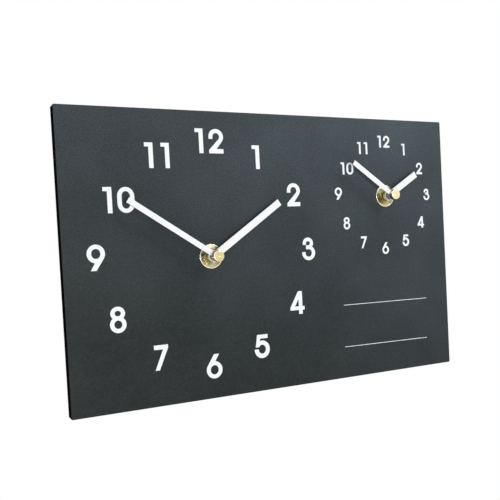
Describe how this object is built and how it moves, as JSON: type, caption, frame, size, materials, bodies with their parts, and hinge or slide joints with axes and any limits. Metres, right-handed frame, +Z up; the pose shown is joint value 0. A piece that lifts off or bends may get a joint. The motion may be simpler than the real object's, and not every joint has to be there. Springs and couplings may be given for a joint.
{
  "type": "world time clock",
  "caption": "Flat slate-grey wall clock board with a large and a small dial, each turned by its own battery quartz movement behind the board.",
  "frame": {"origin": "on the board's back plane, midway between the round entries of the two keyholes", "axes": "+X to the right seen from the front, +Y to the wall behind the board, +Z up"},
  "size_m": [0.314, 0.0408, 0.2],
  "materials": {
    "board": "matte",
    "zinc_steel": "satin",
    "case": "satin",
    "inner_plastic": "satin",
    "gear_plastic": "satin",
    "knob": "satin",
    "brass": "polished",
    "rubber": "matte",
    "battery": "satin",
    "spring_steel": "satin",
    "circuit": "satin",
    "copper": "satin",
    "iron": "satin",
    "magnet": "satin",
    "arbor_metal": "satin",
    "collet": "satin",
    "hands": "matte"
  },
  "bodies": {
    "clock": {"face_board": "board", "hanger_plates": "zinc_steel", "hanger_screws": "zinc_steel", "main_front_cover": "case", "main_rear_case": "case", "main_middle_plate": "inner_plastic", "main_bush": "brass", "main_rubber_washer": "rubber", "main_brass_washer": "brass", "main_fixing_nut": "brass", "main_battery": "battery", "main_contact_positive": "spring_steel", "main_contact_negative": "spring_steel", "main_circuit_board": "circuit", "main_coil": "copper", "main_coil_core": "iron", "main_stator": "iron", "second_front_cover": "case", "second_rear_case": "case", "second_middle_plate": "inner_plastic", "second_bush": "brass", "second_rubber_washer": "rubber", "second_brass_washer": "brass", "second_fixing_nut": "brass", "second_battery": "battery", "second_contact_positive": "spring_steel", "second_contact_negative": "spring_steel", "second_circuit_board": "circuit", "second_coil": "copper", "second_coil_core": "iron", "second_stator": "iron"},
    "main_minute": {"main_minute_arbor": "arbor_metal", "main_minute_hand": "hands", "main_minute_collet": "collet", "main_hand_cap": "brass"},
    "main_minute_wheel": {"main_minute_wheel": "gear_plastic"},
    "main_hour": {"main_hour_wheel": "gear_plastic", "main_hour_hand": "hands", "main_hour_collet": "collet"},
    "main_knob": {"main_setting_knob": "knob"},
    "main_rotor": {"main_rotor": "magnet"},
    "main_fifth_wheel": {"main_fifth_wheel": "gear_plastic"},
    "main_fourth_wheel": {"main_fourth_wheel": "gear_plastic"},
    "main_third_wheel": {"main_third_wheel": "gear_plastic"},
    "main_centre_wheel": {"main_centre_wheel": "gear_plastic"},
    "second_minute": {"second_minute_arbor": "arbor_metal", "second_minute_hand": "hands", "second_minute_collet": "collet", "second_hand_cap": "brass"},
    "second_minute_wheel": {"second_minute_wheel": "gear_plastic"},
    "second_hour": {"second_hour_wheel": "gear_plastic", "second_hour_hand": "hands", "second_hour_collet": "collet"},
    "second_knob": {"second_setting_knob": "knob"},
    "second_rotor": {"second_rotor": "magnet"},
    "second_fifth_wheel": {"second_fifth_wheel": "gear_plastic"},
    "second_fourth_wheel": {"second_fourth_wheel": "gear_plastic"},
    "second_third_wheel": {"second_third_wheel": "gear_plastic"},
    "second_centre_wheel": {"second_centre_wheel": "gear_plastic"}
  },
  "joints": [
    {"name": "main_minute_turn", "type": "hinge", "parent": "clock", "child": "main_minute", "pos_m": [-0.0553, 0, -0.0848], "axis": [0, 1, 0], "continuous": true},
    {"name": "main_minute_wheel_turn", "type": "hinge", "parent": "clock", "child": "main_minute_wheel", "pos_m": [-0.06396, 0, -0.0798], "axis": [0, 1, 0], "continuous": true},
    {"name": "main_hour_turn", "type": "hinge", "parent": "clock", "child": "main_hour", "pos_m": [-0.0553, 0, -0.0848], "axis": [0, 1, 0], "continuous": true},
    {"name": "main_knob_turn", "type": "hinge", "parent": "clock", "child": "main_knob", "pos_m": [-0.06137, 0, -0.07014], "axis": [0, 1, 0], "continuous": true},
    {"name": "main_rotor_turn", "type": "hinge", "parent": "clock", "child": "main_rotor", "pos_m": [-0.04329, 0, -0.07526], "axis": [0, 1, 0], "continuous": true},
    {"name": "main_fifth_wheel_turn", "type": "hinge", "parent": "clock", "child": "main_fifth_wheel", "pos_m": [-0.05053, 0, -0.07654], "axis": [0, 1, 0], "continuous": true},
    {"name": "main_fourth_wheel_turn", "type": "hinge", "parent": "clock", "child": "main_fourth_wheel", "pos_m": [-0.0553, 0, -0.0848], "axis": [0, 1, 0], "continuous": true},
    {"name": "main_third_wheel_turn", "type": "hinge", "parent": "clock", "child": "main_third_wheel", "pos_m": [-0.06461, 0, -0.0848], "axis": [0, 1, 0], "continuous": true},
    {"name": "main_centre_wheel_turn", "type": "hinge", "parent": "clock", "child": "main_centre_wheel", "pos_m": [-0.0553, 0, -0.0848], "axis": [0, 1, 0], "continuous": true},
    {"name": "second_minute_turn", "type": "hinge", "parent": "clock", "child": "second_minute", "pos_m": [0.0967, 0, -0.0445], "axis": [0, 1, 0], "continuous": true},
    {"name": "second_minute_wheel_turn", "type": "hinge", "parent": "clock", "child": "second_minute_wheel", "pos_m": [0.08804, 0, -0.0395], "axis": [0, 1, 0], "continuous": true},
    {"name": "second_hour_turn", "type": "hinge", "parent": "clock", "child": "second_hour", "pos_m": [0.0967, 0, -0.0445], "axis": [0, 1, 0], "continuous": true},
    {"name": "second_knob_turn", "type": "hinge", "parent": "clock", "child": "second_knob", "pos_m": [0.09063, 0, -0.02984], "axis": [0, 1, 0], "continuous": true},
    {"name": "second_rotor_turn", "type": "hinge", "parent": "clock", "child": "second_rotor", "pos_m": [0.10871, 0, -0.03496], "axis": [0, 1, 0], "continuous": true},
    {"name": "second_fifth_wheel_turn", "type": "hinge", "parent": "clock", "child": "second_fifth_wheel", "pos_m": [0.10147, 0, -0.03624], "axis": [0, 1, 0], "continuous": true},
    {"name": "second_fourth_wheel_turn", "type": "hinge", "parent": "clock", "child": "second_fourth_wheel", "pos_m": [0.0967, 0, -0.0445], "axis": [0, 1, 0], "continuous": true},
    {"name": "second_third_wheel_turn", "type": "hinge", "parent": "clock", "child": "second_third_wheel", "pos_m": [0.08739, 0, -0.0445], "axis": [0, 1, 0], "continuous": true},
    {"name": "second_centre_wheel_turn", "type": "hinge", "parent": "clock", "child": "second_centre_wheel", "pos_m": [0.0967, 0, -0.0445], "axis": [0, 1, 0], "continuous": true}
  ],
  "couplings": [
    {"joint": "main_minute_wheel_turn", "follows": "main_minute_turn", "ratio": -0.33333},
    {"joint": "main_hour_turn", "follows": "main_minute_turn", "ratio": 0.083333},
    {"joint": "main_knob_turn", "follows": "main_minute_turn", "ratio": 1},
    {"joint": "main_fifth_wheel_turn", "follows": "main_rotor_turn", "ratio": -0.16667},
    {"joint": "main_fourth_wheel_turn", "follows": "main_rotor_turn", "ratio": 0.033333},
    {"joint": "main_third_wheel_turn", "follows": "main_rotor_turn", "ratio": -0.0044444},
    {"joint": "main_centre_wheel_turn", "follows": "main_rotor_turn", "ratio": 0.00055556},
    {"joint": "second_minute_wheel_turn", "follows": "second_minute_turn", "ratio": -0.33333},
    {"joint": "second_hour_turn", "follows": "second_minute_turn", "ratio": 0.083333},
    {"joint": "second_knob_turn", "follows": "second_minute_turn", "ratio": 1},
    {"joint": "second_fifth_wheel_turn", "follows": "second_rotor_turn", "ratio": -0.16667},
    {"joint": "second_fourth_wheel_turn", "follows": "second_rotor_turn", "ratio": 0.033333},
    {"joint": "second_third_wheel_turn", "follows": "second_rotor_turn", "ratio": -0.0044444},
    {"joint": "second_centre_wheel_turn", "follows": "second_rotor_turn", "ratio": 0.00055556}
  ]
}
